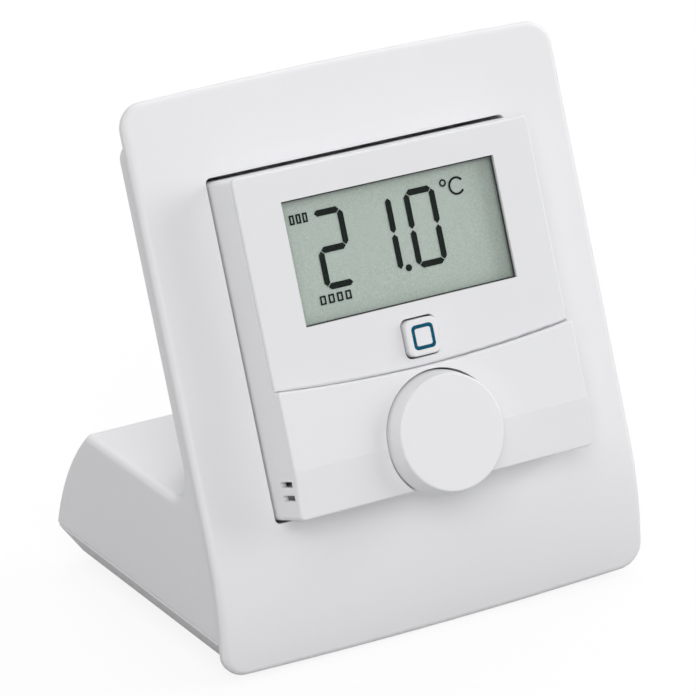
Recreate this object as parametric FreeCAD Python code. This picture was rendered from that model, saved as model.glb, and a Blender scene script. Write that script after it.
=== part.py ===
"""Desk-standing room thermostat: a 55 mm thermostat module seated in a leaning stand.

Millimetres, +Z up, the front looks along -Y, origin at the bottom centre of the bounding box.
Parts that share the lean are drawn flat (u = X across, v = Y up the face, w = Z outwards)
and turned into place at the end.
"""
import FreeCAD
import Part
import math
import os

# ---------------------------------------------------------------- stand
LEAN = 20.3                 # backward lean of the face, degrees
FEET_PROUD = 1.0            # feet stand this far below the plate's lower corners
PLATE_HALF_W = 40.0
PLATE_TOP = 94.5            # up the face, from the floor line
PLATE_T = 1.7
PLATE_CORNER_R = 4.3
PLATE_EDGE_R = 1.1
PLATE_CROWN = 0.65          # rise of the slightly bowed top edge
FOOT_CROWN = 0.8            # drop of the slightly bowed bottom edge
BEND_START = 23.75          # below this height the face curves towards vertical
BEND_R = 54.3
BEND_ANGLE = 25.5
OPENING_HALF_W = 27.85
OPENING_LOW = 24.5
OPENING_HIGH = 80.6
OPENING_MIDDLE = (OPENING_LOW + OPENING_HIGH) / 2
OPENING_CORNER_R = 0.9

SHELL_HALF_W = 39.65
SHELL_TOP = 88.9
SHELL_BACK = -5.3           # back of the upright, measured along the face normal
SHELL_WALL = 1.8
SHELL_CORNER_R = 3.0
SHELL_EDGE_R = 1.2
SEAM_Z = 6.65
SEAM_GAP = 0.15
BASE_TOP_Z = 26.9
BASE_REAR_TOP_Y = 51.6
BASE_REAR_MID = (59.7, 17.5)
BASE_REAR_Y = 64.6
BASE_FILLET_R = 5.0
BASE_REAR_R = 1.0

POD_HALF_W = 30.4
POD_WALL = 2.2
POD_LOW = 22.3
POD_HIGH = 82.8
POD_BACK = -19.3
POD_INNER_BACK = -17.5
POD_EDGE_R = 2.5

COVER_HALF_W = 39.9
COVER_TAPER = 3.0
COVER_FRONT_Y = 6.85
COVER_REAR_Y = 64.75
COVER_BOTTOM_Z = 1.9
COVER_FLOOR_T = 1.6
COVER_WALL = 1.9
COVER_CORNER_R = 1.6
COVER_RIM_R = 0.3

FOOT_R = 4.5
FOOT_EDGE_R = 0.5
FOOT_X = 24.0
FOOT_FRONT_Y = 15.5
FOOT_REAR_Y = 53.0
FOOT_RECESS = 0.6
FIT_GAP = 0.1

COVER_SCREW_X = 32.4
COVER_SCREW_FRONT_Y = 14.5
COVER_SCREW_REAR_Y = 51.0
COVER_SCREW_TOP_Z = 14.0
COVER_HEAD_Z = COVER_BOTTOM_Z + 0.8
COVER_HEAD_R = 2.5
COVER_HEAD_T = 1.7
COVER_SHANK_R = 1.25
SCREW_CLEARANCE = 0.05
HOLE_CLEARANCE = 0.2
BOSS_R = 2.7

BACKPLATE_HALF = 26.0
BACKPLATE_T = 1.7
BACKPLATE_TOP_W = POD_INNER_BACK + BACKPLATE_T
BACKPLATE_CORNER_R = 2.0
BACKPLATE_WINDOW = (13.0, 9.0)
BACKPLATE_SCREW_U = 20.0
BACKPLATE_HEAD_T = 0.8
PRONG_U = 21.0
PRONG_HALF_W = 1.0
PRONG_V = (43.0, 49.0)
PRONG_TOP_W = -11.0
PRONG_GAP = 0.4

# ---------------------------------------------------------------- thermostat module
UNIT_V = 25.0               # lower edge of the module, up the face
UNIT_HALF_W = 27.5
UNIT_H = 55.0
UNIT_WALL = 1.6
UNIT_CORNER_R = 0.9
UNIT_EDGE_R = 0.35
CASE_SPLIT_W = -4.0
CASE_BACK_W = -15.5
CASE_REAR_INSET = 0.5
BAND_FOLD_V = 7.9           # the lower band slopes back below this line
BAND_W = 9.6
BAND_LOW_W = 8.4
BAND_SKIN = 1.5
ARC_DIP_V = 19.25           # lowest point of the arc between band and panel
ARC_R = 245.0
ARC_GAP = 0.05              # joint between band and panel along the arc
SEAT_W = 7.6                # the display panel sits on this level
PANEL_W = 8.3
PANEL_GAP = 0.15
PANEL_SIDE_GAP = 0.1
PANEL_PLUG_W = 7.15
PANEL_PLUG_GAP = 0.2
PANEL_TOP_V = 54.9
PANEL_EDGE_R = 0.45
WINDOW_HALF_W = 19.7
WINDOW_LOW_V = 29.6
WINDOW_HIGH_V = 49.75

VENT_V = (5.95, 3.75)
VENT_H = 0.9
VENT_LOW_W = 3.3
VENT_HIGH_W = 7.8
VENT_WALL = 0.9             # the side wall is thinner round the vents
VENT_MARGIN = 0.5

KNOB_V = 8.2
KNOB_R = 10.17              # at its foot
KNOB_TOP_R = 9.45
KNOB_TAPER_W = 9.0          # straight below this level, tapered above
KNOB_BACK_W = 5.75
KNOB_FACE_W = 12.6
KNOB_EDGE_R = 0.35
KNOB_SKIN = 1.3
KNOB_HUB_R = 4.0
KNOB_HUB_W = 6.9
WELL_R = 10.42
WELL_FLOOR_W = 5.0
WELL_FLOOR_T = 1.0
WELL_WALL = 1.3
SHAFT_R = 2.2
SHAFT_FLAT = 1.5            # the shaft's flat lies this far off its axis
SHAFT_FLAT_W = 7.2
SLEEVE_R = 2.9
SLEEVE_TOP_W = 6.6
BUSHING_R = 3.5
BUSHING_TOP_W = 5.6
ENCODER_BORE_W = 0.8
ENCODER_FOOT_W = 2.0        # sleeve and shaft end here, inside the encoder
RUNNING_GAP = 0.05

BUTTON_V = 23.93
BUTTON_HALF = 2.97
BUTTON_HOLE_HALF = 3.25
BUTTON_R = 1.2
BUTTON_EDGE_R = 0.35
BUTTON_FACE_W = 9.4
BUTTON_FLANGE_W = 6.95
BUTTON_FLANGE_T = 0.8
BUTTON_WING = (4.2, 2.6)
BUTTON_STEM_R = 1.2
RING_HALF = 2.0
RING_STROKE = 0.56
RING_R = 0.75
RING_INNER_R = 0.35
RING_DEPTH = 1.1
RING_GAP = 0.02

GLASS_HALF_W = 20.9
GLASS_LOW_V = 28.0
GLASS_HIGH_V = 51.4
GLASS_TOP_W = 7.55
GLASS_T = 1.1
GASKET_LIP = 0.22           # the gasket shows this far inside the window
GASKET_T = 0.15
SEGMENT_T = 0.08
REFLECTOR_LOW_V = 29.4
REFLECTOR_LOW_W = 5.2
DIFFUSER_INSET = 0.4
DIFFUSER_LOW_W = 2.2
STACK_GAP = 0.03
FRAME_RIM = 1.0
FRAME_TOP_W = 6.9
FRAME_GAP = 0.1
FRAME_FLANGE = 2.0
ELASTOMER_HALF_W = 19.0
ELASTOMER_T = 1.2

DIGIT_W = 5.75
DIGIT_LOW_V = 34.4
DIGIT_H = 12.8
DIGIT_STROKE = 1.02
DIGIT_GAP = 0.12
DIGIT_LEFT = {"tens": -14.0, "ones": -5.15, "tenths": 3.05}
SEGMENTS_LIT = {"tens": "abged", "ones": "bc", "tenths": "abcdef"}
POINT_CENTRE = (1.5, 34.95)
POINT_R = 0.56
DEGREE_CENTRE = (10.62, 47.0)
DEGREE_R = (0.62, 0.36)
UNIT_SIGN_CENTRE = (13.05, 46.1)
UNIT_SIGN_R = (1.5, 1.16)
UNIT_SIGN_MOUTH = (2.55, 1.9)
MARK_STROKE = 0.27
UPPER_MARKS = {"left": -17.9, "low": 45.75, "width": 0.85, "height": 1.55, "pitch": 1.2, "count": 3}
LOWER_MARKS = {"left": -15.35, "low": 32.3, "width": 1.05, "height": 1.45, "pitch": 1.55, "count": 4}

PCB_TOP_W = -1.5
PCB_T = 1.6
PCB_HALF_W = 25.0
PCB_EDGE_GAP = 0.4
PART_GAP = 0.05             # parts soldered to the board float this far off it
ENCODER_HALF = 5.9
ENCODER_TOP_W = 3.2
SWITCH_HALF = 3.0
SWITCH_TOP_W = 2.0
SWITCH_BORE_W = 0.1
PLUNGER_R = 1.6
PLUNGER_LOW_W = 0.8
PLUNGER_TOP_W = 2.9
ANTENNA_R = 0.35
ANTENNA_W = 0.6
ANTENNA_U = (7.5, 21.0)
ANTENNA_V = (22.4, 25.4)
PASSIVES = (                # low corner, high corner, height
    ((4.0, 36.0), (7.2, 38.0), 1.2),
    ((4.0, 40.0), (9.0, 42.0), 1.0),
    ((12.0, 36.0), (13.6, 36.8), 0.6),
    ((12.0, 38.0), (13.6, 38.8), 0.6),
    ((-18.0, 12.0), (-14.5, 15.5), 1.6),
    ((-18.0, 18.0), (-16.4, 18.8), 0.6),
)

POST_U = 24.2
POST_V = (4.0, 51.0)
POST_R = 1.8
REAR_POST_R = 2.3
STUB_R = 1.5
STUB_H = 0.75
CASE_SHANK_R = 0.8
CASE_SHANK_TOP_W = 3.5
BORE_SPARE = 0.5            # blind holes run this far past the screws' tips
CASE_HEAD_R = 1.6
CASE_HEAD_T = 1.3
CASE_HEAD_W = -6.0          # the case screws' heads bear on this level

CELL_R = 5.2
CELL_LENGTH = 43.6
CELL_EDGE_R = 0.5
CELL_SHIFT = 1.2
STUD_R = 1.9
STUD_T = 0.9
CELL_W = -10.25
CELL_V = (15.5, 29.5)
BAY_HALF_V = 6.0
BAY_HALF_U = 24.9
BAY_ROOF_T = 0.8
BAY_WALL = 1.2
COIL_R = 2.6
COIL_WIRE_R = 0.35
COIL_PITCH = 1.0
COIL_LENGTH = 3.0
CONTACT_U = (-24.8, 24.45)
CONTACT_T = 0.35
CONTACT_HALF = (4.5, 4.2)

CUT = 1.0                   # how far cutting bodies reach past the surface they open
FAR = 200.0
SIN_LEAN = math.sin(math.radians(LEAN))
COS_LEAN = math.cos(math.radians(LEAN))


def front_reach():
    """Y of the foremost point: the knob's rounded lower edge, before centring."""
    flare = math.atan2(KNOB_R - KNOB_TOP_R, KNOB_FACE_W - KNOB_TAPER_W)
    inset = KNOB_EDGE_R * math.tan((math.pi / 2 - flare) / 2)
    rim_v = UNIT_V + KNOB_V - (KNOB_TOP_R - inset)
    return rim_v * SIN_LEAN - (KNOB_FACE_W - KNOB_EDGE_R) * COS_LEAN - KNOB_EDGE_R


Y_CENTRE = (front_reach() + BASE_REAR_Y) / 2.0


# ---------------------------------------------------------------- helpers
def leaned(v, w):
    """A point of the side view from its height up the face and its distance off it."""
    y = v * SIN_LEAN - w * COS_LEAN - Y_CENTRE
    z = v * COS_LEAN + w * SIN_LEAN + FEET_PROUD
    return FreeCAD.Vector(0, y, z)


def face_coordinates(point):
    """Height up the face and distance off it of a point of the side view."""
    y = point.y + Y_CENTRE
    z = point.z - FEET_PROUD
    return y * SIN_LEAN + z * COS_LEAN, z * SIN_LEAN - y * COS_LEAN


def upright(y, z):
    """A point of the side view from floor coordinates measured before centring."""
    return FreeCAD.Vector(0, y - Y_CENTRE, z)


def on_face(shape, v):
    """Carry a flat drawing onto the leaning face, its v counted from height v."""
    turn = FreeCAD.Rotation(FreeCAD.Vector(1, 0, 0), 90.0 - LEAN)
    placed = shape.copy()
    placed.Placement = FreeCAD.Placement(leaned(v, 0), turn).multiply(shape.Placement)
    return placed


def on_stand(shape):
    return on_face(shape, 0)


def on_unit(shape):
    return on_face(shape, UNIT_V)


def box(low, high):
    size = [high[i] - low[i] for i in range(3)]
    return Part.makeBox(size[0], size[1], size[2], FreeCAD.Vector(*low))


def rod(x, y, low_z, high_z, radius):
    return Part.makeCylinder(radius, high_z - low_z, FreeCAD.Vector(x, y, low_z))


def rod_along_x(low_x, high_x, y, z, radius):
    start = FreeCAD.Vector(low_x, y, z)
    return Part.makeCylinder(radius, high_x - low_x, start, FreeCAD.Vector(1, 0, 0))


def tube(centre, outer_r, inner_r, low_z, high_z):
    x, y = centre
    return rod(x, y, low_z, high_z, outer_r).cut(rod(x, y, low_z, high_z, inner_r))


def polygon_prism(points, direction):
    loop = [FreeCAD.Vector(*p) for p in points]
    return Part.Face(Part.makePolygon(loop + [loop[0]])).extrude(FreeCAD.Vector(*direction))


def edges_at(shape, keep):
    return [edge for edge in shape.Edges if keep(edge)]


def edges_along(shape, direction, keep=None):
    """Straight edges parallel to a direction, filtered by a test on their midpoint."""
    axis = FreeCAD.Vector(*direction)
    found = []
    for edge in shape.Edges:
        if edge.Curve.TypeId != "Part::GeomLine":
            continue
        run = edge.Vertexes[1].Point.sub(edge.Vertexes[0].Point)
        if run.cross(axis).Length > 1e-6 * run.Length:
            continue
        if keep is None or keep(edge.CenterOfMass):
            found.append(edge)
    return found


def lies_at_z(level):
    return lambda edge: all(abs(v.Point.z - level) < 1e-6 for v in edge.Vertexes)


def rounded_box(low, high, radius):
    """Box with its four Z edges rounded."""
    block = box(low, high)
    return block.makeFillet(radius, edges_along(block, (0, 0, 1)))


def rounded_rectangle(low_x, low_y, high_x, high_y, z, radius):
    plate = rounded_box((low_x, low_y, z), (high_x, high_y, z + 1.0), radius)
    return [f for f in plate.Faces if abs(f.CenterOfMass.z - z) < 1e-6][0].OuterWire


def extruded_across(face, half_w):
    """Side-view face turned into a slab from -half_w to +half_w."""
    slab = face.extrude(FreeCAD.Vector(2 * half_w, 0, 0))
    slab.translate(FreeCAD.Vector(-half_w, 0, 0))
    return slab


def wire_of(edges):
    return Part.Wire(Part.__sortEdges__(edges))


def fused(shapes):
    return shapes[0].multiFuse(shapes[1:]).removeSplitter() if len(shapes) > 1 else shapes[0]


def corners(half_x, low_y, high_y):
    return [(sx * half_x, y) for sx in (-1, 1) for y in (low_y, high_y)]


# ---------------------------------------------------------------- stand parts
def bend_point(angle, w):
    """Point on the curved foot of the face, an angle past the bend's start."""
    turn = math.radians(angle)
    v = BEND_START - (BEND_R + w) * math.sin(turn)
    return leaned(v, -BEND_R + (BEND_R + w) * math.cos(turn))


def depth_behind_face(point):
    """Signed distance of a point from the plate's front surface, positive outwards."""
    v, w = face_coordinates(point)
    if v >= BEND_START:
        return w
    return math.hypot(v - BEND_START, w + BEND_R) - BEND_R


def skin_edges(top, w):
    """Side-view outline of the face shifted by w: the straight part and the curved foot."""
    start = leaned(BEND_START, w)
    curve = Part.Arc(start, bend_point(BEND_ANGLE / 2, w), bend_point(BEND_ANGLE, w))
    return Part.makeLine(leaned(top, w), start), curve.toShape()


def skin_prism(top, front_w, back_w, half_w):
    """Slab that follows the face between two offsets."""
    front = skin_edges(top, front_w)
    back = skin_edges(top, back_w)
    foot = Part.makeLine(bend_point(BEND_ANGLE, front_w), bend_point(BEND_ANGLE, back_w))
    head = Part.makeLine(leaned(top, back_w), leaned(top, front_w))
    return extruded_across(Part.Face(wire_of([*front, foot, *back, head])), half_w)


def crowned_prism(far_y, corner_y, crown):
    """Tall prism as wide as the plate; its edge at corner_y bows by crown, and its corners are rounded."""
    left, right = (FreeCAD.Vector(x, corner_y, -FAR) for x in (-PLATE_HALF_W, PLATE_HALF_W))
    bow = Part.Arc(left, FreeCAD.Vector(0, corner_y + crown, -FAR), right).toShape()
    far_left, far_right = (FreeCAD.Vector(x, far_y, -FAR) for x in (-PLATE_HALF_W, PLATE_HALF_W))
    rest = Part.makePolygon([right, far_right, far_left, left])
    prism = Part.Face(Part.Wire([bow, *rest.Edges])).extrude(FreeCAD.Vector(0, 0, 2 * FAR))
    near = edges_along(prism, (0, 0, 1), lambda c: abs(c.y - corner_y) < 1e-6)
    return prism.makeFillet(PLATE_CORNER_R, near)


def plate_outline():
    """Rounded outline of the plate: leaned corners at the top, level corners at the foot."""
    top = crowned_prism(-FAR, PLATE_TOP, PLATE_CROWN)
    foot = crowned_prism(FAR, FEET_PROUD, -FOOT_CROWN)
    foot.rotate(FreeCAD.Vector(), FreeCAD.Vector(1, 0, 0), 90)
    return on_stand(top).common(foot)


def is_plate_front(face):
    u0, u1, v0, v1 = face.ParameterRange
    point = face.valueAt((u0 + u1) / 2, (v0 + v1) / 2)
    inside = abs(point.x) < PLATE_HALF_W - PLATE_CORNER_R
    return inside and abs(depth_behind_face(point)) < 1e-4


def rim_edges(faces):
    """Edges that belong to only one of the given faces."""
    edges = [edge for face in faces for edge in face.OuterWire.Edges]
    return [e for e in edges if sum(e.isSame(other) for other in edges) == 1]


def stand_front_plate():
    slab = skin_prism(PLATE_TOP + CUT, 0, -PLATE_T, PLATE_HALF_W + CUT)
    plate = slab.common(plate_outline()).removeSplitter()
    plate = plate.makeFillet(PLATE_EDGE_R, rim_edges([f for f in plate.Faces if is_plate_front(f)]))
    low = (-OPENING_HALF_W, OPENING_LOW, -PLATE_T - CUT)
    high = (OPENING_HALF_W, OPENING_HIGH, CUT)
    return plate.cut(on_stand(rounded_box(low, high, OPENING_CORNER_R)))


def shell_block(front_w, top, back_w, base_z, inset, half_w):
    """Upright, wedge top and curved rear wall of the rear shell, drawn from the side."""
    head_back = leaned(top, back_w)
    heel = leaned((base_z - FEET_PROUD - back_w * SIN_LEAN) / COS_LEAN, back_w)
    crest = upright(BASE_REAR_TOP_Y - inset, base_z)
    belly = upright(BASE_REAR_MID[0] - inset, BASE_REAR_MID[1])
    tail = upright(BASE_REAR_Y - inset, SEAM_Z)
    toe = bend_point(BEND_ANGLE, front_w)
    tail_low = FreeCAD.Vector(0, tail.y, toe.z)
    edges = [
        *skin_edges(top, front_w),
        Part.makeLine(leaned(top, front_w), head_back),
        Part.makeLine(head_back, heel),
        Part.makeLine(heel, crest),
        Part.Arc(crest, belly, tail).toShape(),
        Part.makeLine(tail, tail_low),
        Part.makeLine(tail_low, toe),
    ]
    return extruded_across(Part.Face(wire_of(edges)), half_w)


def is_head_corner(edge):
    """The two short edges where the upright's sides meet its top."""
    middle = edge.CenterOfMass
    v, _ = face_coordinates(middle)
    on_side = abs(abs(middle.x) - SHELL_HALF_W) < 1e-3
    return on_side and abs(v - SHELL_TOP) < 1e-3


def is_back_rim(edge):
    """Outer edges of the shell that face backwards: the rim of the upright and of the wedge."""
    first, last = edge.FirstParameter, edge.LastParameter
    samples = [edge.valueAt(first + t * (last - first)) for t in (0.02, 0.5, 0.98)]
    if samples[1].z < SEAM_Z + 1e-4:
        return False
    if any(abs(depth_behind_face(p) + PLATE_T) < 1e-3 for p in samples):
        return False
    on_side = all(abs(abs(p.x) - SHELL_HALF_W) < 1e-3 for p in samples)
    return on_side or all(is_at_head_back(p) for p in samples)


def is_at_head_back(point):
    v, w = face_coordinates(point)
    return abs(w - SHELL_BACK) < 1e-3 and v > SHELL_TOP - SHELL_CORNER_R - 0.01


def shell_outer():
    block = shell_block(-PLATE_T, SHELL_TOP, SHELL_BACK, BASE_TOP_Z, 0, SHELL_HALF_W)
    for radius, side in ((BASE_FILLET_R, -1), (BASE_REAR_R, 1)):
        bend = edges_along(block, (1, 0, 0), lambda c: abs(c.z - BASE_TOP_Z) < 0.01 and c.y * side > 0)
        block = block.makeFillet(radius, bend)
    block = block.makeFillet(SHELL_CORNER_R, edges_at(block, is_head_corner))
    block = block.common(box((-FAR, -FAR, SEAM_Z), (FAR, FAR, FAR))).removeSplitter()
    return block.makeFillet(SHELL_EDGE_R, edges_at(block, is_back_rim))


def shell_inner():
    return shell_block(-PLATE_T + CUT, SHELL_TOP - SHELL_WALL, SHELL_BACK + SHELL_WALL,
                       BASE_TOP_Z - SHELL_WALL, SHELL_WALL, SHELL_HALF_W - SHELL_WALL)


def pod_outer():
    """Outside of the pocket that takes the rear half of the module."""
    block = box((-POD_HALF_W, POD_LOW, POD_BACK), (POD_HALF_W, POD_HIGH, -PLATE_T))
    rim = edges_along(block, (0, 0, 1)) + edges_at(block, lies_at_z(POD_BACK))
    return on_stand(block.makeFillet(POD_EDGE_R, rim))


def pod_inner():
    low = (-POD_HALF_W + POD_WALL, POD_LOW + POD_WALL, POD_INNER_BACK)
    return on_stand(box(low, (POD_HALF_W - POD_WALL, POD_HIGH - POD_WALL, FAR)))


def cover_screw_spots():
    return corners(COVER_SCREW_X, COVER_SCREW_FRONT_Y - Y_CENTRE, COVER_SCREW_REAR_Y - Y_CENTRE)


def backplate_screw_spots():
    return [(sx * BACKPLATE_SCREW_U, OPENING_MIDDLE) for sx in (-1, 1)]


def foot_spots():
    return corners(FOOT_X, FOOT_FRONT_Y - Y_CENTRE, FOOT_REAR_Y - Y_CENTRE)


def stand_rear_shell():
    outer = shell_outer()
    hollow = outer.cut(shell_inner())
    bosses = [rod(x, y, SEAM_Z, BASE_TOP_Z, BOSS_R).common(outer) for x, y in cover_screw_spots()]
    shell = fused([hollow, pod_outer(), *bosses]).cut(pod_inner())
    shell = shell.cut(skin_prism(PLATE_TOP + CUT, 5 * CUT, -PLATE_T, PLATE_HALF_W + CUT))
    bore_r = COVER_SHANK_R + SCREW_CLEARANCE
    for x, y in cover_screw_spots():
        shell = shell.cut(rod(x, y, SEAM_Z - CUT, COVER_SCREW_TOP_Z + CUT, bore_r))
    for u, v in backplate_screw_spots():
        shell = shell.cut(on_stand(rod(u, v, POD_BACK + 0.6, POD_INNER_BACK + CUT, bore_r)))
    return shell.removeSplitter()


def tapered_block(low_z, high_z, half_w, inset, front_y, rear_y):
    """Block whose sides and rear draw in towards its lower face."""
    front = front_y - Y_CENTRE
    rear = rear_y - Y_CENTRE
    top = rounded_rectangle(-half_w, front, half_w, rear, high_z, COVER_CORNER_R)
    low_half_w = half_w - inset
    bottom = rounded_rectangle(-low_half_w, front, low_half_w, rear - inset, low_z, COVER_CORNER_R)
    return Part.makeLoft([bottom, top], True, True)


def stand_bottom_cover():
    rim_z = SEAM_Z - SEAM_GAP
    outer = tapered_block(COVER_BOTTOM_Z, rim_z, COVER_HALF_W, COVER_TAPER, COVER_FRONT_Y, COVER_REAR_Y)
    outer = outer.makeFillet(COVER_RIM_R, edges_at(outer, lies_at_z(rim_z)))
    inner = tapered_block(COVER_BOTTOM_Z + COVER_FLOOR_T, rim_z + CUT, COVER_HALF_W - COVER_WALL,
                          COVER_TAPER - 1.0, COVER_FRONT_Y + COVER_WALL, COVER_REAR_Y - COVER_WALL)
    bosses = [rod(x, y, COVER_BOTTOM_Z, rim_z, COVER_HEAD_R + 1.2).common(outer)
              for x, y in cover_screw_spots()]
    cover = fused([outer.cut(inner), *bosses])
    head_top = COVER_HEAD_Z + COVER_HEAD_T
    for x, y in cover_screw_spots():
        cover = cover.cut(rod(x, y, COVER_BOTTOM_Z - CUT, head_top, COVER_HEAD_R + HOLE_CLEARANCE))
        cover = cover.cut(rod(x, y, head_top - CUT, rim_z + CUT, COVER_SHANK_R + HOLE_CLEARANCE))
    recess_top = COVER_BOTTOM_Z + FOOT_RECESS
    for x, y in foot_spots():
        cover = cover.cut(rod(x, y, COVER_BOTTOM_Z - CUT, recess_top, FOOT_R + FIT_GAP))
    return cover


def rubber_feet():
    feet = []
    for x, y in foot_spots():
        foot = rod(x, y, 0, COVER_BOTTOM_Z + FOOT_RECESS, FOOT_R)
        feet.append(foot.makeFillet(FOOT_EDGE_R, edges_at(foot, lies_at_z(0))))
    return Part.makeCompound(feet)


def pan_screw(x, y, head_low, head_t, head_r, shank_top, shank_r):
    """Cross-recess screw pointing up, its head at the lower end."""
    head = rod(x, y, head_low, head_low + head_t, head_r)
    head = head.makeFillet(head_t * 0.4, edges_at(head, lies_at_z(head_low)))
    screw = fused([head, rod(x, y, head_low + head_t, shank_top, shank_r)])
    long_half = head_r * 0.6
    short_half = head_r * 0.13
    depth = head_low + head_t * 0.55
    cross = [box((x - a, y - b, head_low - CUT), (x + a, y + b, depth))
             for a, b in ((long_half, short_half), (short_half, long_half))]
    return screw.cut(fused(cross))


def cover_screws():
    return Part.makeCompound([
        pan_screw(x, y, COVER_HEAD_Z, COVER_HEAD_T, COVER_HEAD_R, COVER_SCREW_TOP_Z, COVER_SHANK_R)
        for x, y in cover_screw_spots()])


def mounting_plate():
    """Plate screwed into the pocket, with two prongs that guide the module."""
    low_v = OPENING_MIDDLE - BACKPLATE_HALF
    high_v = OPENING_MIDDLE + BACKPLATE_HALF
    plate = rounded_box((-BACKPLATE_HALF, low_v, POD_INNER_BACK),
                        (BACKPLATE_HALF, high_v, BACKPLATE_TOP_W), BACKPLATE_CORNER_R)
    half_u, half_v = BACKPLATE_WINDOW
    window = rounded_box((-half_u, OPENING_MIDDLE - half_v, POD_INNER_BACK - CUT),
                         (half_u, OPENING_MIDDLE + half_v, BACKPLATE_TOP_W + CUT), BACKPLATE_CORNER_R)
    prongs = [box((sx * PRONG_U - PRONG_HALF_W, UNIT_V + PRONG_V[0], POD_INNER_BACK),
                  (sx * PRONG_U + PRONG_HALF_W, UNIT_V + PRONG_V[1], PRONG_TOP_W)) for sx in (-1, 1)]
    plate = fused([plate.cut(window), *prongs])
    seat_w = BACKPLATE_TOP_W - BACKPLATE_HEAD_T - FIT_GAP
    for u, v in backplate_screw_spots():
        plate = plate.cut(rod(u, v, POD_INNER_BACK - CUT, seat_w + CUT, COVER_SHANK_R + HOLE_CLEARANCE))
        plate = plate.cut(rod(u, v, seat_w, BACKPLATE_TOP_W + CUT, COVER_HEAD_R + HOLE_CLEARANCE))
    return on_stand(plate)


def mounting_plate_screws():
    """Flat-headed screws whose heads finish level with the plate's front."""
    head_top = BACKPLATE_TOP_W - PART_GAP
    head_low = head_top - BACKPLATE_HEAD_T
    screws = []
    for u, v in backplate_screw_spots():
        head = rod(u, v, head_low, head_top, COVER_HEAD_R)
        screw = fused([head, rod(u, v, POD_BACK + 0.8, head_low, COVER_SHANK_R)])
        slot = box((u - 1.5, v - 0.3, head_top - 0.4), (u + 1.5, v + 0.3, head_top + CUT))
        screws.append(screw.cut(slot))
    return on_stand(Part.makeCompound(screws))


# ---------------------------------------------------------------- module case
def arc_cutter(offset, low_w, high_w):
    """Everything above the arc that divides the band from the display panel."""
    disc = rod(0, ARC_DIP_V + ARC_R, low_w, high_w, ARC_R - offset)
    reach = UNIT_HALF_W + CUT
    return disc.common(box((-reach, 0, low_w), (reach, UNIT_H + CUT, high_w)))


def band_block():
    """The raised lower band: flat above the fold, sloping back below it."""
    profile = ((0, CASE_SPLIT_W), (0, BAND_LOW_W), (BAND_FOLD_V, BAND_W), (UNIT_H / 2, BAND_W),
               (UNIT_H / 2, CASE_SPLIT_W))
    return polygon_prism([(-UNIT_HALF_W, v, w) for v, w in profile], (2 * UNIT_HALF_W, 0, 0))


def case_outer():
    """Outside of the front case: tray for the panel plus the raised band."""
    tray = box((-UNIT_HALF_W, 0, CASE_SPLIT_W), (UNIT_HALF_W, UNIT_H, SEAT_W))
    band = band_block().cut(arc_cutter(0, SEAT_W, BAND_W + CUT))
    block = tray.fuse(band).removeSplitter()
    uprights = edges_along(block, (0, 0, 1), is_outer_corner)
    return block.makeFillet(UNIT_CORNER_R, uprights)


def is_outer_corner(point):
    at_side = abs(abs(point.x) - UNIT_HALF_W) < 1e-6
    return at_side and (point.y < 0.01 or point.y > UNIT_H - 0.01)


def case_hollow():
    """Inside of the front case: one room behind the panel, a deeper one behind the band."""
    half = UNIT_HALF_W - UNIT_WALL
    high_v = UNIT_H - UNIT_WALL
    floor_w = SEAT_W - BAND_SKIN
    room = box((-half, UNIT_WALL, CASE_SPLIT_W - CUT), (half, high_v, floor_w))
    behind_panel = box((-half, UNIT_WALL, floor_w), (half, high_v, BAND_W + CUT))
    behind_panel = behind_panel.common(arc_cutter(0, floor_w, BAND_W + CUT))
    slope = (BAND_W - BAND_LOW_W) / BAND_FOLD_V
    low_w = BAND_LOW_W + slope * UNIT_WALL - BAND_SKIN
    top_v = ARC_DIP_V - UNIT_WALL
    profile = ((UNIT_WALL, floor_w), (UNIT_WALL, low_w), (BAND_FOLD_V, BAND_W - BAND_SKIN),
               (top_v, BAND_W - BAND_SKIN), (top_v, floor_w))
    behind_band = polygon_prism([(-half, v, w) for v, w in profile], (2 * half, 0, 0))
    return fused([room, behind_panel, behind_band])


def knob_well_drum(outer):
    """Wall and floor of the round well that the knob stands in."""
    return rod(0, KNOB_V, WELL_FLOOR_W - WELL_FLOOR_T, BAND_W, WELL_R + WELL_WALL).common(outer)


def knob_well_cut():
    well = rod(0, KNOB_V, WELL_FLOOR_W, BAND_W + CUT, WELL_R)
    throat = rod(0, KNOB_V, WELL_FLOOR_W - WELL_FLOOR_T - CUT, WELL_FLOOR_W + CUT, BUSHING_R + 0.3)
    return well.fuse(throat)


def vent_cuts():
    """Slots through the left side wall, with a rounded inner end."""
    outside = -UNIT_HALF_W - CUT
    inside = -UNIT_HALF_W + UNIT_WALL + CUT
    end_w = VENT_LOW_W + VENT_H
    slots = []
    for v in VENT_V:
        run = box((outside, v - VENT_H / 2, end_w), (inside, v + VENT_H / 2, VENT_HIGH_W))
        slots.append(run.fuse(rod_along_x(outside, inside, v, end_w, VENT_H / 2)))
    margin = VENT_H / 2 + VENT_MARGIN
    thinned = box((-UNIT_HALF_W + VENT_WALL, min(VENT_V) - margin, VENT_LOW_W - VENT_MARGIN),
                  (inside, max(VENT_V) + margin, VENT_HIGH_W))
    return [*slots, thinned]


def post_spots():
    return corners(POST_U, *POST_V)


def is_case_front_rim(edge):
    """Front edges of the band that the hand meets: bottom, sides and the arc."""
    middle = edge.valueAt((edge.FirstParameter + edge.LastParameter) / 2)
    on_band = middle.z > BAND_LOW_W - 0.01 and middle.y < ARC_DIP_V + 3
    across_fold = abs(middle.y - BAND_FOLD_V) < 1e-3 and abs(middle.x) < UNIT_HALF_W - 1
    return on_band and not across_fold


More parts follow.
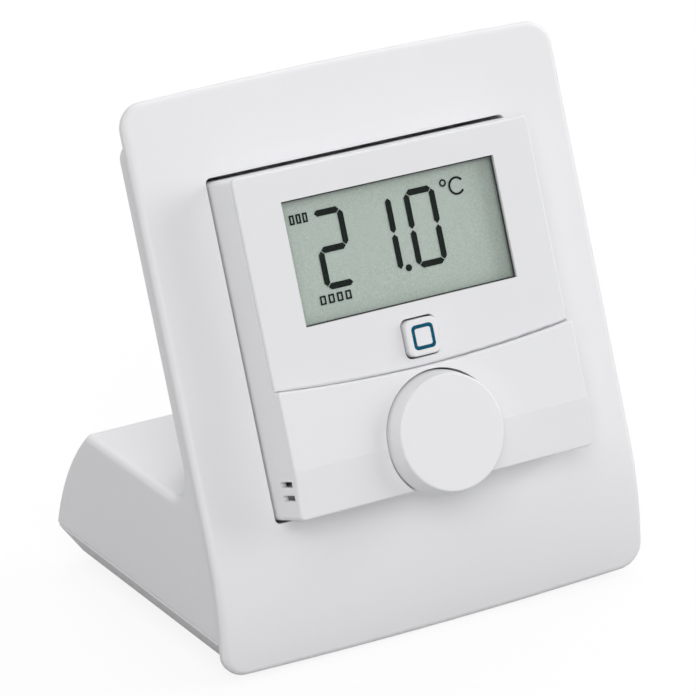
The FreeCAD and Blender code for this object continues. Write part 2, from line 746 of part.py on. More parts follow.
def unit_housing():
    outer = case_outer()
    outer = outer.makeFillet(UNIT_EDGE_R, edges_at(outer, is_case_front_rim))
    posts = [rod(u, v, PCB_TOP_W, SEAT_W - BAND_SKIN, POST_R).common(outer) for u, v in post_spots()]
    case = fused([outer.cut(case_hollow()), knob_well_drum(outer), *posts]).cut(knob_well_cut())
    for slot in vent_cuts():
        case = case.cut(slot)
    bore_top = CASE_SHANK_TOP_W + BORE_SPARE
    for u, v in post_spots():
        case = case.cut(rod(u, v, PCB_TOP_W - CUT, bore_top, CASE_SHANK_R + SCREW_CLEARANCE))
    return on_unit(case.removeSplitter())


def display_panel():
    half = UNIT_HALF_W - PANEL_SIDE_GAP
    cap = box((-half, 0, SEAT_W + PANEL_GAP), (half, PANEL_TOP_V, PANEL_W))
    cap = cap.makeFillet(UNIT_CORNER_R, edges_along(cap, (0, 0, 1), lambda c: c.y > UNIT_H / 2))
    cap = cap.common(arc_cutter(ARC_GAP, SEAT_W, PANEL_W + CUT))
    cap = cap.makeFillet(PANEL_EDGE_R, edges_at(cap, lies_at_z(PANEL_W)))
    inner = UNIT_HALF_W - UNIT_WALL - PANEL_PLUG_GAP
    plug_top = UNIT_H - UNIT_WALL - PANEL_PLUG_GAP
    plug = box((-inner, 0, PANEL_PLUG_W), (inner, plug_top, SEAT_W + PANEL_GAP))
    plug = plug.common(arc_cutter(BAY_WALL, PANEL_PLUG_W, PANEL_W))
    window = box((-WINDOW_HALF_W, WINDOW_LOW_V, 0), (WINDOW_HALF_W, WINDOW_HIGH_V, PANEL_W + CUT))
    hole = button_prism(BUTTON_HOLE_HALF, BUTTON_R, 0, PANEL_W + CUT)
    glass_room = framed_box(FRAME_GAP, 0, GLASS_TOP_W + GASKET_T + STACK_GAP)
    return on_unit(fused([cap, plug.cut(glass_room)]).cut(window).cut(hole))


# ---------------------------------------------------------------- display stack
def display_gasket():
    """Thin dark frame between glass and panel; its inner lip lines the window."""
    low_w = GLASS_TOP_W + STACK_GAP / 2
    high_w = low_w + GASKET_T
    opening = box((-WINDOW_HALF_W + GASKET_LIP, WINDOW_LOW_V + GASKET_LIP, low_w - CUT),
                  (WINDOW_HALF_W - GASKET_LIP, WINDOW_HIGH_V - GASKET_LIP, high_w + CUT))
    return on_unit(framed_box(0, low_w, high_w).cut(opening))


def lcd_glass():
    low = (-GLASS_HALF_W, GLASS_LOW_V, GLASS_TOP_W - GLASS_T)
    return on_unit(box(low, (GLASS_HALF_W, GLASS_HIGH_V, GLASS_TOP_W)))


def lcd_reflector():
    top = GLASS_TOP_W - GLASS_T - SEGMENT_T - 2 * STACK_GAP
    low = (-GLASS_HALF_W, REFLECTOR_LOW_V, REFLECTOR_LOW_W)
    return on_unit(box(low, (GLASS_HALF_W, GLASS_HIGH_V, top)))


def backlight_diffuser():
    half = GLASS_HALF_W - DIFFUSER_INSET
    low = (-half, REFLECTOR_LOW_V + DIFFUSER_INSET, DIFFUSER_LOW_W)
    return on_unit(box(low, (half, GLASS_HIGH_V - DIFFUSER_INSET, REFLECTOR_LOW_W - STACK_GAP)))


def framed_box(grow, low_w, high_w):
    """Box around the glass's outline, grown on every side."""
    half = GLASS_HALF_W + grow
    return box((-half, GLASS_LOW_V - grow, low_w), (half, GLASS_HIGH_V + grow, high_w))


def lcd_frame():
    """Carrier that lifts the display off the board."""
    low_w = PCB_TOP_W + PART_GAP
    ledge_w = DIFFUSER_LOW_W - FRAME_GAP
    outer = framed_box(FRAME_RIM, low_w, FRAME_TOP_W)
    room = framed_box(FRAME_GAP, ledge_w, FRAME_TOP_W + CUT)
    half = GLASS_HALF_W - FRAME_FLANGE
    hollow_low_v = REFLECTOR_LOW_V + FRAME_FLANGE
    hollow = box((-half, hollow_low_v, low_w - CUT), (half, GLASS_HIGH_V - FRAME_FLANGE, ledge_w + CUT))
    slot_half = ELASTOMER_HALF_W + FRAME_GAP
    slot = box((-slot_half, GLASS_LOW_V - FRAME_GAP, low_w - CUT),
               (slot_half, GLASS_LOW_V + ELASTOMER_T + FRAME_GAP, ledge_w + CUT))
    return on_unit(outer.cut(room).cut(hollow).cut(slot))


def elastomer_connector():
    """Soft strip that joins the display's contact ledge to the board."""
    low = (-ELASTOMER_HALF_W, GLASS_LOW_V, PCB_TOP_W + PART_GAP)
    high = (ELASTOMER_HALF_W, GLASS_LOW_V + ELASTOMER_T, GLASS_TOP_W - GLASS_T - PART_GAP)
    return on_unit(box(low, high))


def segment_outline(name, left):
    """Outline of one bar of a seven-segment digit."""
    half = DIGIT_STROKE / 2
    x0 = left + half
    x1 = left + DIGIT_W - half
    middle = DIGIT_LOW_V + DIGIT_H / 2
    y0 = DIGIT_LOW_V + half
    y1 = DIGIT_LOW_V + DIGIT_H - half
    ends = {"a": ((x0, y1), (x1, y1)), "b": ((x1, middle), (x1, y1)), "c": ((x1, y0), (x1, middle)),
            "d": ((x0, y0), (x1, y0)), "e": ((x0, y0), (x0, middle)), "f": ((x0, middle), (x0, y1)),
            "g": ((x0, middle), (x1, middle))}
    return pointed_bar(*ends[name], half)


def pointed_bar(start, end, half):
    """Bar with pointed ends that stops a hair short of both end points."""
    run = math.hypot(end[0] - start[0], end[1] - start[1])
    dx = (end[0] - start[0]) / run
    dy = (end[1] - start[1]) / run
    near = DIGIT_GAP
    far = run - DIGIT_GAP
    turns = ((near, 0), (near + half, -half), (far - half, -half),
             (far, 0), (far - half, half), (near + half, half))
    return [(start[0] + dx * a - dy * b, start[1] + dy * a + dx * b) for a, b in turns]


def unit_sign(low_w, high_w):
    """Degree ring and an open ring to its right."""
    x, y = UNIT_SIGN_CENTRE
    reach, rise = UNIT_SIGN_MOUTH
    mouth = [(x, y, low_w), (x + reach, y + rise, low_w), (x + reach, y - rise, low_w)]
    bow = tube(UNIT_SIGN_CENTRE, *UNIT_SIGN_R, low_w, high_w).cut(polygon_prism(mouth, (0, 0, CUT)))
    return [tube(DEGREE_CENTRE, *DEGREE_R, low_w, high_w), bow]


def mode_marks(row, low_w, high_w):
    """Row of small open blocks."""
    blocks = []
    for i in range(row["count"]):
        left = row["left"] + i * row["pitch"]
        outer = box((left, row["low"], low_w), (left + row["width"], row["low"] + row["height"], high_w))
        inner = box((left + MARK_STROKE, row["low"] + MARK_STROKE, low_w),
                    (left + row["width"] - MARK_STROKE, row["low"] + row["height"] - MARK_STROKE, high_w))
        blocks.append(outer.cut(inner))
    return blocks


def lcd_segments():
    high_w = GLASS_TOP_W - GLASS_T - STACK_GAP
    low_w = high_w - SEGMENT_T
    shapes = [rod(*POINT_CENTRE, low_w, high_w, POINT_R)]
    for place, left in DIGIT_LEFT.items():
        for name in SEGMENTS_LIT[place]:
            loop = [(x, y, low_w) for x, y in segment_outline(name, left)]
            shapes.append(polygon_prism(loop, (0, 0, SEGMENT_T)))
    shapes += unit_sign(low_w, high_w)
    shapes += mode_marks(UPPER_MARKS, low_w, high_w)
    shapes += mode_marks(LOWER_MARKS, low_w, high_w)
    return on_unit(Part.makeCompound(shapes))


# ---------------------------------------------------------------- board and its parts
def on_board(low, high, thickness):
    """Block that stands on the board."""
    floor = PCB_TOP_W + PART_GAP
    return box((low[0], low[1], floor), (high[0], high[1], floor + thickness))


def circuit_board():
    low_v = UNIT_WALL + PCB_EDGE_GAP
    low_w = PCB_TOP_W - PCB_T
    board = box((-PCB_HALF_W, low_v, low_w), (PCB_HALF_W, UNIT_H - low_v, PCB_TOP_W))
    for u, v in post_spots():
        board = board.cut(rod(u, v, low_w - CUT, PCB_TOP_W + CUT, CASE_SHANK_R + 2 * HOLE_CLEARANCE))
    return on_unit(board)


def encoder_body():
    low = (-ENCODER_HALF, KNOB_V - ENCODER_HALF)
    block = on_board(low, (ENCODER_HALF, KNOB_V + ENCODER_HALF), ENCODER_TOP_W - PCB_TOP_W - PART_GAP)
    bushing = rod(0, KNOB_V, ENCODER_TOP_W, BUSHING_TOP_W, BUSHING_R)
    bore = rod(0, KNOB_V, ENCODER_BORE_W, BUSHING_TOP_W + CUT, SLEEVE_R + RUNNING_GAP)
    return on_unit(fused([block, bushing]).cut(bore))


def encoder_push_sleeve():
    return on_unit(tube((0, KNOB_V), SLEEVE_R, SHAFT_R + RUNNING_GAP, ENCODER_FOOT_W, SLEEVE_TOP_W))


def behind_flat(gap, low_w, high_w):
    """Room above the shaft's flat, a gap further out."""
    return box((-KNOB_R, KNOB_V + SHAFT_FLAT + gap, low_w), (KNOB_R, KNOB_V + KNOB_R, high_w))


def knob_shaft():
    """Encoder shaft with a flat over the length that the knob grips."""
    top_w = KNOB_FACE_W - KNOB_SKIN - FIT_GAP
    shaft = rod(0, KNOB_V, ENCODER_FOOT_W, top_w, SHAFT_R)
    return on_unit(shaft.cut(behind_flat(0, SHAFT_FLAT_W, top_w + CUT)))


def setting_knob():
    """Round cap with a hollow back and a hub that grips the shaft."""
    foot = FreeCAD.Vector(0, KNOB_V, KNOB_TAPER_W)
    taper = Part.makeCone(KNOB_R, KNOB_TOP_R, KNOB_FACE_W - KNOB_TAPER_W, foot)
    drum = rod(0, KNOB_V, KNOB_BACK_W, KNOB_TAPER_W, KNOB_R).fuse(taper).removeSplitter()
    drum = drum.makeFillet(KNOB_EDGE_R, edges_at(drum, lies_at_z(KNOB_FACE_W)))
    ceiling = KNOB_FACE_W - KNOB_SKIN
    room = rod(0, KNOB_V, KNOB_BACK_W - CUT, ceiling, KNOB_TOP_R - KNOB_SKIN)
    hub = rod(0, KNOB_V, KNOB_HUB_W, ceiling, KNOB_HUB_R)
    bore = rod(0, KNOB_V, KNOB_HUB_W - CUT, ceiling, SHAFT_R + RUNNING_GAP)
    bore = bore.cut(behind_flat(RUNNING_GAP, SHAFT_FLAT_W, ceiling + CUT))
    return on_unit(fused([drum.cut(room), hub]).cut(bore))


def tact_switch_body():
    low = (-SWITCH_HALF, BUTTON_V - SWITCH_HALF)
    body = on_board(low, (SWITCH_HALF, BUTTON_V + SWITCH_HALF), SWITCH_TOP_W - PCB_TOP_W - PART_GAP)
    bore = rod(0, BUTTON_V, SWITCH_BORE_W, SWITCH_TOP_W + CUT, PLUNGER_R + RUNNING_GAP)
    return on_unit(body.cut(bore))


def tact_plunger():
    return on_unit(rod(0, BUTTON_V, PLUNGER_LOW_W, PLUNGER_TOP_W, PLUNGER_R))


def button_prism(half, radius, low_w, high_w):
    """Square block with rounded corners, centred on the button."""
    return rounded_box((-half, BUTTON_V - half, low_w), (half, BUTTON_V + half, high_w), radius)


def ring_prism(margin, low_w, high_w):
    """The light ring, or with a margin the groove that it lies in."""
    outer = button_prism(RING_HALF + margin, RING_R + margin, low_w, high_w)
    inner = button_prism(RING_HALF - RING_STROKE - margin, RING_INNER_R, low_w, high_w)
    return outer.cut(inner)


def light_ring():
    return on_unit(ring_prism(0, BUTTON_FACE_W - RING_DEPTH, BUTTON_FACE_W))


def system_button():
    flange_low = BUTTON_FLANGE_W - BUTTON_FLANGE_T
    cap = button_prism(BUTTON_HALF, BUTTON_R, flange_low, BUTTON_FACE_W)
    cap = cap.makeFillet(BUTTON_EDGE_R, edges_at(cap, lies_at_z(BUTTON_FACE_W)))
    half_u, half_v = BUTTON_WING
    wings = box((-half_u, BUTTON_V - half_v, flange_low), (half_u, BUTTON_V + half_v, BUTTON_FLANGE_W))
    stem = rod(0, BUTTON_V, PLUNGER_TOP_W + PART_GAP, BUTTON_FLANGE_W, BUTTON_STEM_R)
    groove = ring_prism(RING_GAP, BUTTON_FACE_W - RING_DEPTH - RING_GAP, BUTTON_FACE_W + CUT)
    return on_unit(fused([cap, wings, stem]).cut(groove))


def status_led():
    return on_unit(on_board((4.3, BUTTON_V - 0.6), (5.9, BUTTON_V + 0.6), 0.8))


def microcontroller():
    return on_unit(on_board((-13.0, 36.0), (-3.0, 46.0), 1.4))


def radio_module():
    """Small board under a metal can."""
    base = on_board((12.5, 8.0), (23.5, 20.5), 0.6)
    can = on_board((13.2, 8.7), (22.8, 19.8), 2.2)
    return on_unit(fused([base, can]))


def wire_antenna():
    """Bent wire: up off the board, then along the gap below the display."""
    left, right = ANTENNA_U
    low_v, high_v = ANTENNA_V
    post = rod(right, low_v, PCB_TOP_W + PART_GAP, ANTENNA_W, ANTENNA_R)
    start = FreeCAD.Vector(right, low_v, ANTENNA_W)
    lead = Part.makeCylinder(ANTENNA_R, high_v - low_v, start, FreeCAD.Vector(0, 1, 0))
    run = rod_along_x(left, right, high_v, ANTENNA_W, ANTENNA_R)
    knuckles = [Part.makeSphere(ANTENNA_R, FreeCAD.Vector(right, v, ANTENNA_W)) for v in ANTENNA_V]
    return on_unit(fused([post, lead, run, *knuckles]))


def climate_sensor():
    return on_unit(on_board((-24.4, 7.0), (-21.4, 10.0), 1.1))


def board_passives():
    """Capacitors, a crystal and resistors."""
    return on_unit(Part.makeCompound([on_board(*passive) for passive in PASSIVES]))


# ---------------------------------------------------------------- rear case and batteries
def back_housing():
    """Rear case: two open battery bays, screw posts and pockets for the stand's prongs."""
    top_w = CASE_SPLIT_W - FIT_GAP
    half = UNIT_HALF_W - CASE_REAR_INSET
    low_v = CASE_REAR_INSET
    high_v = UNIT_H - CASE_REAR_INSET
    block = rounded_box((-half, low_v, CASE_BACK_W), (half, high_v, top_w), UNIT_CORNER_R)
    case = block
    for room_low_v, room_high_v in (
            (low_v + UNIT_WALL, CELL_V[0] - BAY_HALF_V - BAY_WALL),
            (CELL_V[1] + BAY_HALF_V + BAY_WALL, high_v - UNIT_WALL)):
        room_half = half - UNIT_WALL
        case = case.cut(box((-room_half, room_low_v, CASE_BACK_W + UNIT_WALL),
                            (room_half, room_high_v, top_w + CUT)))
    for v in CELL_V:
        low = (-BAY_HALF_U, v - BAY_HALF_V, CASE_BACK_W - CUT)
        case = case.cut(box(low, (BAY_HALF_U, v + BAY_HALF_V, top_w - BAY_ROOF_T)))
    posts = [rod(u, v, CASE_BACK_W, top_w, REAR_POST_R).common(block) for u, v in post_spots()]
    stubs = [rod(u, v, CASE_BACK_W + CUT, top_w + STUB_H, STUB_R) for u, v in post_spots()]
    case = fused([case, *posts, *stubs])
    for u, v in post_spots():
        case = case.cut(rod(u, v, CASE_BACK_W - CUT, 0, CASE_SHANK_R + 3 * SCREW_CLEARANCE))
        case = case.cut(rod(u, v, CASE_BACK_W - CUT, CASE_HEAD_W, CASE_HEAD_R + FIT_GAP))
    pocket_half = PRONG_HALF_W + PRONG_GAP
    for u in (-PRONG_U, PRONG_U):
        case = case.cut(box((u - pocket_half, PRONG_V[0] - PRONG_GAP, CASE_BACK_W - CUT),
                            (u + pocket_half, PRONG_V[1] + PRONG_GAP, CASE_BACK_W + UNIT_WALL + CUT)))
    return on_unit(case)


def housing_screws():
    head_low = CASE_HEAD_W - CASE_HEAD_T
    return on_unit(Part.makeCompound([
        pan_screw(u, v, head_low, CASE_HEAD_T, CASE_HEAD_R, CASE_SHANK_TOP_W, CASE_SHANK_R)
        for u, v in post_spots()]))


def in_bay(shape, v, facing):
    """Lay a shape drawn along Z into a battery bay, pointing right (1) or left (-1)."""
    turn = FreeCAD.Rotation(FreeCAD.Vector(0, 1, 0), 90 * facing)
    placed = shape.copy()
    placed.Placement = FreeCAD.Placement(FreeCAD.Vector(0, v, CELL_W), turn).multiply(shape.Placement)
    return placed


def battery():
    """Cell along Z with its positive stud at the upper end."""
    low = CELL_SHIFT - CELL_LENGTH / 2
    high = CELL_SHIFT + CELL_LENGTH / 2
    can = rod(0, 0, low, high, CELL_R)
    can = can.makeFillet(CELL_EDGE_R, [*edges_at(can, lies_at_z(low)), *edges_at(can, lies_at_z(high))])
    return fused([can, rod(0, 0, high - CELL_EDGE_R, high + STUD_T, STUD_R)])


def battery_lower():
    return on_unit(in_bay(battery(), CELL_V[0], 1))


def battery_upper():
    return on_unit(in_bay(battery(), CELL_V[1], -1))


def contact_spring():
    """Coil along Z that presses on the flat end of a cell."""
    low = CELL_SHIFT - CELL_LENGTH / 2 - COIL_WIRE_R - COIL_LENGTH - RUNNING_GAP
    helix = Part.makeLongHelix(COIL_PITCH, COIL_LENGTH, COIL_R)
    section = Part.makeCircle(COIL_WIRE_R, FreeCAD.Vector(COIL_R, 0, 0), FreeCAD.Vector(0, 1, 0))
    coil = Part.Wire(helix).makePipeShell([Part.Wire(section)], True, True)
    coil.translate(FreeCAD.Vector(0, 0, low))
    return coil


def battery_springs():
    """Coil at the flat end of each cell."""
    coils = [in_bay(contact_spring(), v, facing) for v, facing in zip(CELL_V, (1, -1))]
    return on_unit(Part.makeCompound(coils))


def battery_contact_plates():
    half_v, half_w = CONTACT_HALF
    plates = [box((u, v - half_v, CELL_W - half_w), (u + CONTACT_T, v + half_v, CELL_W + half_w))
              for v in CELL_V for u in CONTACT_U]
    return on_unit(Part.makeCompound(plates))


NODES = (
    stand_front_plate, stand_rear_shell, stand_bottom_cover, rubber_feet, cover_screws,
    mounting_plate, mounting_plate_screws,
    unit_housing, display_panel, display_gasket, lcd_glass, lcd_segments, lcd_reflector,
    backlight_diffuser, lcd_frame, elastomer_connector, circuit_board, encoder_body,
    tact_switch_body, status_led, microcontroller, radio_module, wire_antenna, climate_sensor,
    board_passives, back_housing, battery_lower, battery_upper, battery_springs,
    battery_contact_plates, housing_screws,
    system_button, light_ring, tact_plunger, encoder_push_sleeve, setting_knob, knob_shaft,
)

os.makedirs("parts", exist_ok=True)
for build in NODES:
    build().exportStep(os.path.join("parts", build.__name__ + ".step"))
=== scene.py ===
"""Looks of the desk-standing room thermostat, in metres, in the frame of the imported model.

Every CAD node keeps its shape and gets a procedural material of its own kind. Patterns are laid
out in millimetres, most of them in the plane of the leaning face.
"""
import math

import bpy
from mathutils import Matrix, Vector


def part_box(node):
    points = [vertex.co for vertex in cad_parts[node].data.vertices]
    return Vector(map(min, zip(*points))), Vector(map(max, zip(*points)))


MM = 0.001
LEAN = math.radians(20.3)

WHITE = (0.80, 0.80, 0.815)
FLOOR_SIZE = 6.0
FLOOR_DROP = 0.05 * MM          # just under the feet, so the two surfaces never coincide
FLOOR_TONE = (0.45, 0.45, 0.45)
FLOOR_GLOW = 1.2                # what the camera sees of the paper's own light
FLOOR_GLOW_SHARE = 0.72
ROOM_LIGHT = 0.2                # strength of the room light on the object
BACKDROP = 0.95                 # and as the camera sees it

LIGHT_DISTANCE = 1.3
LIGHT_SIZE = 0.8
LIGHT_AIM = Vector((0, 0, 0.045))
# Name: azimuth and elevation in degrees, power in watts. Azimuth 0 stands in front of the face.
LIGHTS = {
    "left_side": (-110, 20, 2.9),
    "left_high": (-60, 55, 1.8),
    "left_front": (-25, 30, 7.7),
    "left_low": (-25, 5, 0.85),
    "right_front": (65, 20, 7.45),
    "right_back": (110, 30, 4.1),
    "back_right": (150, 50, 3.45),
    "back": (180, 40, 2.1),
    "overhead": (0, 88, 1.5),
}

CAMERA_PLACE = Vector((-0.33070, -0.57355, 0.31002))
CAMERA_TARGET = Vector((-0.00722, -0.01061, 0.04580))
CAMERA_ROLL = math.radians(-1.566)
CAMERA_LENS = 224.58
SENSOR_WIDTH = 36.0

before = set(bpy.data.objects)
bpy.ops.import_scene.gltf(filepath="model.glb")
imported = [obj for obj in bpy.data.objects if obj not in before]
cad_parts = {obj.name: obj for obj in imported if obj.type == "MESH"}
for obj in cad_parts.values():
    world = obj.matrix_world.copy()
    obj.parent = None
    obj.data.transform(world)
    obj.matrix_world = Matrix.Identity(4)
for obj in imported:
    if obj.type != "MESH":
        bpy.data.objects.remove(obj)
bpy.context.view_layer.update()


# ---------------------------------------------------------------- node helpers
class Look:
    """A Principled material under construction."""

    def __init__(self, name, colour, roughness, **settings):
        self.material = bpy.data.materials.new(name)
        self.material.use_nodes = True
        self.tree = self.material.node_tree
        self.surface = self.tree.nodes["Principled BSDF"]
        self.set("Base Color", (*colour, 1.0))
        self.set("Roughness", roughness)
        for socket, value in settings.items():
            self.set(socket.replace("_", " "), value)

    def set(self, socket, value):
        self.surface.inputs[socket].default_value = value

    def add(self, kind, links=(), **settings):
        """New node; links are (input, output socket) pairs, settings are node attributes."""
        node = self.tree.nodes.new(kind)
        for key, value in settings.items():
            setattr(node, key, value)
        for socket, source in links:
            self.tree.links.new(source, node.inputs[socket])
        return node

    def drive(self, socket, source):
        self.tree.links.new(source, self.surface.inputs[socket])

    def place(self):
        """Coordinates of the row frame."""
        return self.add("ShaderNodeTexCoord").outputs["Object"]

    def face_place(self):
        """Coordinates turned into the leaning face: X across, Y up the face, Z outwards."""
        mapping = self.add("ShaderNodeMapping", [("Vector", self.place())])
        mapping.inputs["Rotation"].default_value = (LEAN - math.pi / 2, 0, 0)
        return mapping.outputs["Vector"]

    def noise(self, size_mm, detail=2.0, roughness=0.5, place=None):
        """Noise whose blotches are about size_mm across, from 0 to 1."""
        node = self.add("ShaderNodeTexNoise", [("Vector", place or self.place())])
        node.inputs["Scale"].default_value = 1.0 / (size_mm * MM)
        node.inputs["Detail"].default_value = detail
        node.inputs["Roughness"].default_value = roughness
        return node.outputs["Fac"]

    def spread(self, factor, low, high, near=0.3, far=0.7):
        """A number that goes from low to high as factor goes from near to far."""
        node = self.add("ShaderNodeMapRange", [("Value", factor)])
        node.inputs["From Min"].default_value = near
        node.inputs["From Max"].default_value = far
        node.inputs["To Min"].default_value = low
        node.inputs["To Max"].default_value = high
        return node.outputs["Result"]

    def blend(self, factor, low, high):
        """A colour between low and high, each a colour or another node's output."""
        node = self.add("ShaderNodeMix", [("Factor", factor)], data_type="RGBA")
        for socket, value in (("A", low), ("B", high)):
            target = [s for s in node.inputs if s.name == socket and s.type == "RGBA"][0]
            if isinstance(value, tuple):
                target.default_value = (*value, 1.0)
            else:
                self.tree.links.new(value, target)
        return [s for s in node.outputs if s.type == "RGBA"][0]

    def maths(self, operation, a, b=0.0):
        node = self.add("ShaderNodeMath", operation=operation)
        for index, value in enumerate((a, b)):
            if isinstance(value, (int, float)):
                node.inputs[index].default_value = value
            else:
                self.tree.links.new(value, node.inputs[index])
        return node.outputs["Value"]

    def soft_edges(self, radius_mm):
        """Normal that rounds sharp edges by about radius_mm."""
        node = self.add("ShaderNodeBevel", samples=6)
        node.inputs["Radius"].default_value = radius_mm * MM
        return node.outputs["Normal"]

    def bump(self, height, depth_mm, strength=1.0, normal=None):
        links = [("Height", height)] + ([("Normal", normal)] if normal else [])
        node = self.add("ShaderNodeBump", links)
        node.inputs["Distance"].default_value = depth_mm * MM
        node.inputs["Strength"].default_value = strength
        return node.outputs["Normal"]


def shade(colour, share):
    return tuple(c * share for c in colour)


# ---------------------------------------------------------------- materials
def moulded_plastic(name, colour, roughness, grain_mm=0.45, depth_mm=0.006, edge_mm=0.12, mottle=0.012,
                    wander=0.055):
    """Injection-moulded plastic: fine eroded grain, faint flow marks, softened edges."""
    look = Look(name, colour, roughness, IOR=1.5)
    grain = look.noise(grain_mm, detail=3.0)
    flow = look.noise(22.0, detail=2.0)
    tone = look.blend(look.spread(grain, 0.0, 1.0), shade(colour, 1.0 - mottle), colour)
    look.drive("Base Color", look.blend(look.spread(flow, 0.0, 0.6), tone, shade(colour, 0.98)))
    look.drive("Roughness", look.spread(grain, roughness - wander, roughness + wander))
    swell = look.bump(flow, 0.05, 0.35, look.soft_edges(edge_mm))
    look.drive("Normal", look.bump(grain, depth_mm, 0.6, swell))
    return look.material


def speckled_display(name):
    """Reflective back of the display: grey-green with a fine metallic speckle."""
    base = (0.515, 0.600, 0.540)
    look = Look(name, base, 0.42, IOR=1.45)
    place = look.face_place()
    fine = look.noise(0.30, detail=2.0, roughness=0.7, place=place)
    cloud = look.noise(9.0, detail=1.0, place=place)
    tone = look.blend(look.spread(fine, 0.0, 1.0, 0.3, 0.7), shade(base, 0.86), shade(base, 1.14))
    look.drive("Base Color", look.blend(look.spread(cloud, 0.0, 0.5), tone, shade(base, 0.98)))
    look.drive("Roughness", look.spread(fine, 0.34, 0.50))
    look.drive("Normal", look.bump(fine, 0.01, 0.5))
    return look.material


def display_glass(name):
    """Clear cover with a matt film: see-through, with a soft, faintly rippled sheen."""
    look = Look(name, (0.02, 0.025, 0.02), 0.18, IOR=1.5, Alpha=0.05, Specular_IOR_Level=0.3)
    film = look.noise(0.30, detail=2.0, place=look.face_place())
    look.drive("Roughness", look.spread(film, 0.14, 0.24))
    look.drive("Normal", look.bump(film, 0.002, 0.4))
    return look.material


def display_ink(name):
    """Switched-on segments: nearly black, almost without gloss behind the glass."""
    look = Look(name, (0.007, 0.012, 0.010), 0.45, Specular_IOR_Level=0.15)
    fine = look.noise(0.30, detail=2.0, place=look.face_place())
    tone = look.blend(look.spread(fine, 0.0, 1.0), (0.005, 0.009, 0.008), (0.012, 0.019, 0.016))
    look.drive("Base Color", tone)
    look.drive("Roughness", look.spread(fine, 0.40, 0.52))
    return look.material


def light_guide(name, colour):
    """Tinted clear plastic over a small lamp that is off."""
    look = Look(name, colour, 0.25, IOR=1.5, Specular_IOR_Level=0.25)
    cloud = look.noise(0.8, detail=2.0)
    tone = look.blend(look.spread(cloud, 0.0, 1.0), shade(colour, 0.85), shade(colour, 1.1))
    look.drive("Base Color", tone)
    look.drive("Roughness", look.spread(cloud, 0.20, 0.32))
    return look.material


def frosted_plastic(name):
    """Milky diffuser sheet."""
    look = Look(name, (0.80, 0.83, 0.80), 0.55, IOR=1.49)
    frost = look.noise(0.20, detail=3.0)
    tone = look.blend(look.spread(frost, 0.0, 1.0), (0.74, 0.78, 0.75), (0.84, 0.87, 0.84))
    look.drive("Base Color", tone)
    look.drive("Normal", look.bump(frost, 0.01, 0.8, look.soft_edges(0.1)))
    return look.material


def rubber(name, colour):
    """Matt rubber or foam with grit and a little dust."""
    look = Look(name, colour, 0.85, IOR=1.45)
    grit = look.noise(0.30, detail=4.0, roughness=0.65)
    dust = look.noise(3.0, detail=3.0)
    tone = look.blend(look.spread(grit, 0.0, 1.0), shade(colour, 0.8), shade(colour, 1.25))
    look.drive("Base Color", look.blend(look.spread(dust, 0.0, 0.35), tone, shade(colour, 1.9)))
    look.drive("Roughness", look.spread(dust, 0.78, 0.95))
    look.drive("Normal", look.bump(grit, 0.03, 0.7, look.soft_edges(0.15)))
    return look.material


def plated_metal(name, colour, roughness, brush_mm):
    """Plated or turned metal with fine tool marks and a little tarnish."""
    look = Look(name, colour, roughness, Metallic=1.0)
    stretched = look.add("ShaderNodeMapping", [("Vector", look.place())])
    stretched.inputs["Scale"].default_value = (1.0, 1.0, 8.0)
    marks = look.noise(brush_mm, detail=3.0, place=stretched.outputs["Vector"])
    tarnish = look.noise(2.5, detail=3.0)
    tone = look.blend(look.spread(marks, 0.0, 1.0), shade(colour, 0.9), colour)
    look.drive("Base Color", look.blend(look.spread(tarnish, 0.0, 0.4), tone, shade(colour, 0.72)))
    look.drive("Roughness", look.spread(tarnish, roughness - 0.06, roughness + 0.12))
    look.drive("Normal", look.bump(marks, 0.004, 0.6, look.soft_edges(0.06)))
    return look.material


def solder_mask(name):
    """Green board: copper runs under the mask, laid out square to the face, with weave below."""
    green = (0.020, 0.135, 0.052)
    look = Look(name, green, 0.32, Coat_Weight=0.4, Coat_Roughness=0.15)
    place = look.face_place()
    runs = look.add("ShaderNodeTexBrick", [("Vector", place)],
                    offset=0.37, squash=1.6, squash_frequency=3)
    runs.inputs["Scale"].default_value = 1.0 / (5.5 * MM)
    runs.inputs["Mortar Size"].default_value = 0.035
    runs.inputs["Mortar Smooth"].default_value = 0.1
    weave = look.noise(0.35, detail=2.0, place=place)
    mask = look.blend(look.spread(weave, 0.0, 1.0), shade(green, 0.85), green)
    look.drive("Base Color", look.blend(runs.outputs["Fac"], mask, (0.060, 0.240, 0.085)))
    look.drive("Roughness", look.spread(weave, 0.26, 0.38))
    relief = look.maths("ADD", runs.outputs["Fac"], look.maths("MULTIPLY", weave, 0.15))
    look.drive("Normal", look.bump(relief, 0.03, 0.7, look.soft_edges(0.05)))
    return look.material


def component_plastic(name, colour, roughness=0.55):
    """Filled moulding compound, as on chips, switches and the encoder."""
    look = Look(name, colour, roughness)
    grain = look.noise(0.18, detail=3.0, roughness=0.6)
    tone = look.blend(look.spread(grain, 0.0, 1.0), shade(colour, 0.75), shade(colour, 1.3))
    look.drive("Base Color", tone)
    look.drive("Roughness", look.spread(grain, roughness - 0.08, roughness + 0.1))
    look.drive("Normal", look.bump(grain, 0.012, 0.6, look.soft_edges(0.08)))
    return look.material


